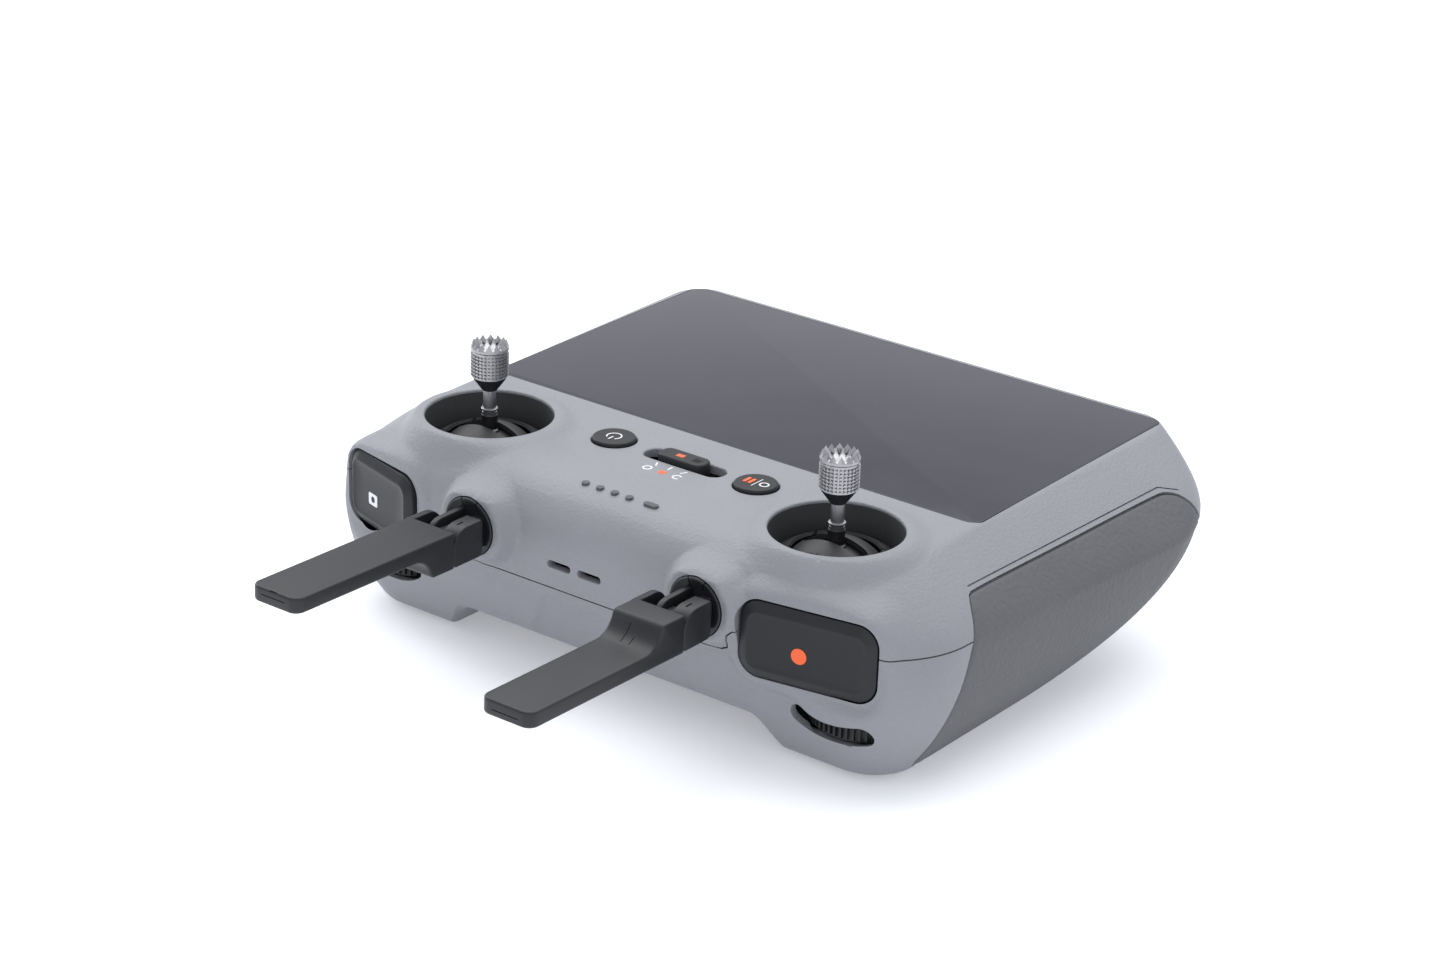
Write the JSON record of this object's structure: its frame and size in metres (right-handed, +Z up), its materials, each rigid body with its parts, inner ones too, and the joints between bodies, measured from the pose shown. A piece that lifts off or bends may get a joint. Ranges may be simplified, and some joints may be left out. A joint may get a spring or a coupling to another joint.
{
  "type": "radio transmitter controller",
  "caption": "Handheld radio transmitter with built-in screen, two gimbal sticks, folding antennas, shoulder buttons, thumb wheels and a slide switch.",
  "frame": {"origin": "below the middle of the whole object, antennas stretched out, on the table it lies on", "axes": "+Z up out of the screen, -Y towards the antennas, +Y towards the user, +X to the right when the antennas point at the viewer"},
  "size_m": [0.1684, 0.1811, 0.0636],
  "materials": {
    "shell_plastic": "fine-textured light grey plastic",
    "grip_rubber": "dark grey rubber with fine leather-like grain",
    "cover_glass": "black-backed cover glass with a soft sheen",
    "panel_black": "black display panel",
    "frame_metal": "stamped bare metal",
    "board_green": "green circuit board",
    "cell_wrap": "shrink-wrapped cells",
    "trim_black": "matte black plastic",
    "lamp_plastic": "clear light guide, unlit",
    "button_black": "satin black plastic",
    "wheel_black": "ribbed satin black plastic",
    "frame_plastic": "dark moulded plastic",
    "socket_metal": "plated steel",
    "stay_rubber": "soft black rubber",
    "screw_steel": "steel",
    "gimbal_black": "satin dark plastic",
    "stick_aluminium": "machined, knurled aluminium",
    "antenna_black": "fine-textured black plastic"
  },
  "bodies": {
    "body": {"top_shell": "shell_plastic", "bottom_shell": "shell_plastic", "left_grip_pad": "grip_rubber", "right_grip_pad": "grip_rubber", "screen_glass": "cover_glass", "display_panel": "panel_black", "display_frame": "frame_metal", "main_board": "board_green", "battery_pack": "cell_wrap", "speaker": "trim_black", "light_guides": "lamp_plastic", "record_switch_board": "board_green", "shutter_switch_board": "board_green", "left_wheel_bracket": "frame_plastic", "right_wheel_bracket": "frame_plastic", "back_switch_boards": "board_green", "usb_socket": "socket_metal", "card_socket": "socket_metal", "top_switch_board": "board_green", "left_stick_stay": "stay_rubber", "right_stick_stay": "stay_rubber", "case_screws": "screw_steel", "board_screws": "screw_steel", "vent_mesh": "trim_black", "left_gimbal_frame": "frame_plastic", "left_well_liner": "trim_black", "right_gimbal_frame": "frame_plastic", "right_well_liner": "trim_black"},
    "mode_switch": {"mode_switch": "button_black"},
    "power_button": {"power_button": "button_black"},
    "pause_button": {"pause_button": "button_black"},
    "record_button": {"record_button": "button_black"},
    "shutter_button": {"shutter_button": "button_black"},
    "left_wheel": {"left_wheel": "wheel_black"},
    "right_wheel": {"right_wheel": "wheel_black"},
    "left_back_button": {"left_back_button": "button_black"},
    "right_back_button": {"right_back_button": "button_black"},
    "left_gimbal_yoke": {"left_gimbal_yoke": "gimbal_black"},
    "left_stick": {"left_gimbal_ball": "gimbal_black", "left_stick": "stick_aluminium"},
    "left_antenna_hub": {"left_antenna_hub": "antenna_black", "left_antenna_pin": "screw_steel"},
    "left_antenna": {"left_antenna": "antenna_black"},
    "right_gimbal_yoke": {"right_gimbal_yoke": "gimbal_black"},
    "right_stick": {"right_gimbal_ball": "gimbal_black", "right_stick": "stick_aluminium"},
    "right_antenna_hub": {"right_antenna_hub": "antenna_black", "right_antenna_pin": "screw_steel"},
    "right_antenna": {"right_antenna": "antenna_black"}
  },
  "joints": [
    {"name": "power_button_press", "type": "slide", "parent": "body", "child": "power_button", "axis": [0, 0, -1], "range_m": [0, 0.0006], "stiffness_N_per_m": 400},
    {"name": "pause_button_press", "type": "slide", "parent": "body", "child": "pause_button", "axis": [0, 0, -1], "range_m": [0, 0.0006], "stiffness_N_per_m": 400},
    {"name": "left_back_button_press", "type": "slide", "parent": "body", "child": "left_back_button", "axis": [0, 0, 1], "range_m": [0, 0.0008], "stiffness_N_per_m": 400},
    {"name": "right_back_button_press", "type": "slide", "parent": "body", "child": "right_back_button", "axis": [0, 0, 1], "range_m": [0, 0.0008], "stiffness_N_per_m": 400},
    {"name": "record_button_press", "type": "slide", "parent": "body", "child": "record_button", "axis": [-0.1564, 0.9877, 0], "range_m": [0, 0.0007], "stiffness_N_per_m": 600},
    {"name": "shutter_button_press", "type": "slide", "parent": "body", "child": "shutter_button", "axis": [0.2756, 0.9613, 0], "range_m": [0, 0.0007], "stiffness_N_per_m": 600},
    {"name": "mode_switch_slide", "type": "slide", "parent": "body", "child": "mode_switch", "axis": [1, 0, 0], "range_m": [-0.0036, 0.0036]},
    {"name": "left_wheel_turn", "type": "hinge", "parent": "body", "child": "left_wheel", "pos_m": [-0.0595, -0.0124, 0.0126], "axis": [0, 0, 1], "range_deg": [-30, 30], "stiffness_Nm_per_rad": 0.01},
    {"name": "right_wheel_turn", "type": "hinge", "parent": "body", "child": "right_wheel", "pos_m": [0.0595, -0.0124, 0.0126], "axis": [0, 0, 1], "range_deg": [-30, 30], "stiffness_Nm_per_rad": 0.01},
    {"name": "left_stick_fore_aft", "type": "hinge", "parent": "body", "child": "left_gimbal_yoke", "pos_m": [-0.0458, -0.0079, 0.031], "axis": [1, 0, 0], "range_deg": [-20, 20], "stiffness_Nm_per_rad": 0.03},
    {"name": "left_stick_sideways", "type": "hinge", "parent": "left_gimbal_yoke", "child": "left_stick", "pos_m": [-0.0458, -0.0079, 0.031], "axis": [0, 1, 0], "range_deg": [-20, 20], "stiffness_Nm_per_rad": 0.03},
    {"name": "right_stick_fore_aft", "type": "hinge", "parent": "body", "child": "right_gimbal_yoke", "pos_m": [0.0458, -0.0079, 0.031], "axis": [1, 0, 0], "range_deg": [-20, 20], "stiffness_Nm_per_rad": 0.03},
    {"name": "right_stick_sideways", "type": "hinge", "parent": "right_gimbal_yoke", "child": "right_stick", "pos_m": [0.0458, -0.0079, 0.031], "axis": [0, 1, 0], "range_deg": [-20, 20], "stiffness_Nm_per_rad": 0.03},
    {"name": "left_antenna_turn", "type": "hinge", "parent": "body", "child": "left_antenna_hub", "pos_m": [-0.0298, -0.0332, 0.0326], "axis": [0, 1, 0], "range_deg": [-90, 90]},
    {"name": "left_antenna_fold", "type": "hinge", "parent": "left_antenna_hub", "child": "left_antenna", "pos_m": [-0.0298, -0.0398, 0.0326], "axis": [-1, 0, 0], "range_deg": [0, 90]},
    {"name": "right_antenna_turn", "type": "hinge", "parent": "body", "child": "right_antenna_hub", "pos_m": [0.0298, -0.0332, 0.0326], "axis": [0, 1, 0], "range_deg": [-90, 90]},
    {"name": "right_antenna_fold", "type": "hinge", "parent": "right_antenna_hub", "child": "right_antenna", "pos_m": [0.0298, -0.0398, 0.0326], "axis": [-1, 0, 0], "range_deg": [0, 90]}
  ]
}
